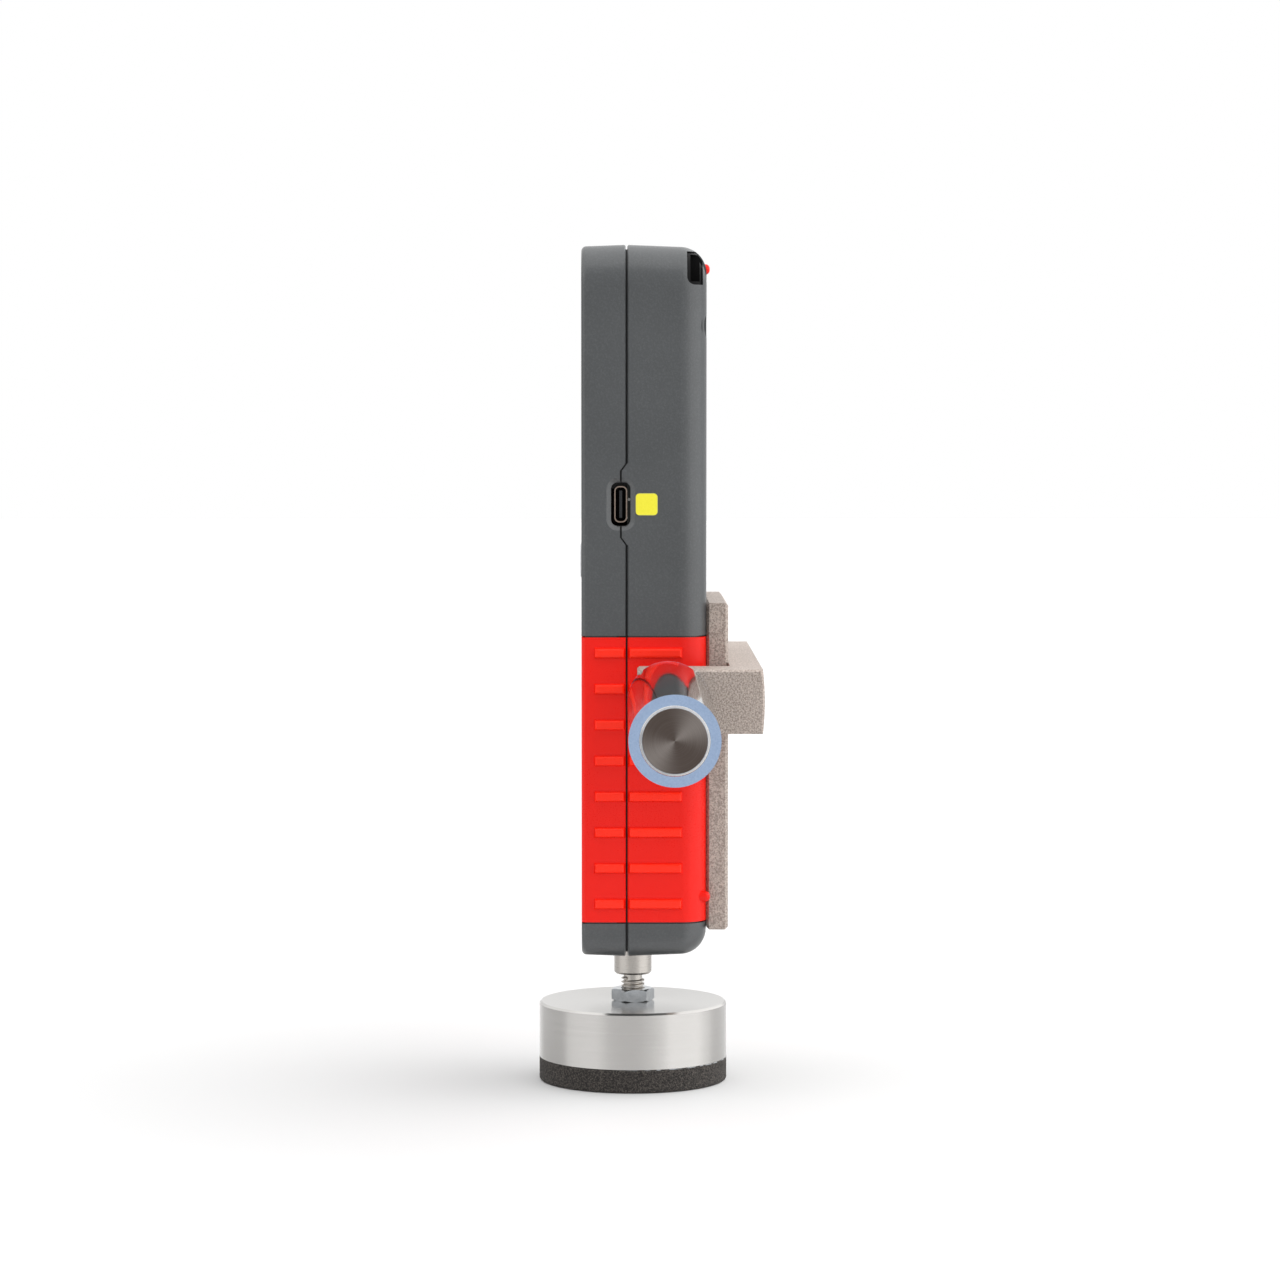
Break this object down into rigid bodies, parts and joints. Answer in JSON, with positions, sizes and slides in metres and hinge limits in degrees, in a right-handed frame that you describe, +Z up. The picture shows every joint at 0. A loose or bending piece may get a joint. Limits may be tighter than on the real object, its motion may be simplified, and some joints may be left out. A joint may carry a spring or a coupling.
{
  "type": "gravestone stability tester",
  "caption": "Hand-held force gauge standing on a padded steel press disc, with a back plate and cross bracket that carry clear-sleeved side handles, for push-testing headstones.",
  "frame": {"origin": "centre of the press pad's lower face, on the measuring axis", "axes": "+Z up along the measuring axis, display faces -Y, mounting plate on +Y, socket side +X"},
  "size_m": [0.346, 0.0557, 0.2122],
  "materials": {
    "pad_foam": "fine closed-cell foam",
    "turned_steel": "turned, bright",
    "blasted_steel": "bead-blasted, satin",
    "dark_steel": "plain steel",
    "alloy": "machined",
    "grey_plastic": "fine spark-eroded texture",
    "red_grip": "smooth, satin",
    "black_plastic": "smooth",
    "window": "tinted, clear",
    "display": "satin",
    "white_plastic": "satin",
    "board": "coated laminate",
    "battery_wrap": "shrink film",
    "yellow_film": "printed film",
    "clear_tube": "clear, drawn tube",
    "key_plastic": "satin",
    "red_key": "satin"
  },
  "bodies": {
    "tester": {"press_pad": "pad_foam", "press_disc": "turned_steel", "threaded_stud": "dark_steel", "lock_nut": "dark_steel", "measuring_shaft": "turned_steel", "load_cell": "alloy", "load_frame": "alloy", "cell_screw": "dark_steel", "cell_lead": "black_plastic", "cell_plug": "white_plastic", "back_shell": "grey_plastic", "front_shell": "grey_plastic", "back_grip_right": "red_grip", "back_grip_left": "red_grip", "front_grip_right": "red_grip", "front_grip_left": "red_grip", "display_window": "window", "display_panel": "display", "display_carrier": "black_plastic", "main_board": "board", "board_screws": "dark_steel", "battery_pack": "battery_wrap", "battery_contacts": "black_plastic", "usb_shell": "turned_steel", "usb_tongue": "black_plastic", "yellow_tag": "yellow_film", "housing_screws": "dark_steel", "rear_foot_left": "red_grip", "rear_foot_right": "red_grip", "strap_eyelet_right": "black_plastic", "strap_eyelet_left": "black_plastic", "mounting_plate": "blasted_steel", "plate_screws": "dark_steel", "cross_bracket": "blasted_steel", "bracket_screws": "dark_steel", "handle_rod_right": "turned_steel", "handle_rod_left": "turned_steel", "handle_tube_right": "clear_tube", "handle_tube_left": "clear_tube", "handle_screws": "dark_steel", "power_key_switch": "black_plastic", "zero_key_switch": "black_plastic", "peak_key_switch": "black_plastic", "unit_key_switch": "black_plastic"},
    "power_button": {"power_key": "red_key", "power_key_plunger": "black_plastic"},
    "zero_button": {"zero_key": "key_plastic", "zero_key_plunger": "black_plastic"},
    "peak_button": {"peak_key": "key_plastic", "peak_key_plunger": "black_plastic"},
    "unit_button": {"unit_key": "key_plastic", "unit_key_plunger": "black_plastic"}
  },
  "joints": [
    {"name": "power_key_press", "type": "slide", "parent": "tester", "child": "power_button", "axis": [0, 1, 0], "range_m": [0, 0.0006], "stiffness_N_per_m": 1500},
    {"name": "zero_key_press", "type": "slide", "parent": "tester", "child": "zero_button", "axis": [0, 1, 0], "range_m": [0, 0.0006], "stiffness_N_per_m": 1500},
    {"name": "peak_key_press", "type": "slide", "parent": "tester", "child": "peak_button", "axis": [0, 1, 0], "range_m": [0, 0.0006], "stiffness_N_per_m": 1500},
    {"name": "unit_key_press", "type": "slide", "parent": "tester", "child": "unit_button", "axis": [0, 1, 0], "range_m": [0, 0.0006], "stiffness_N_per_m": 1500}
  ]
}
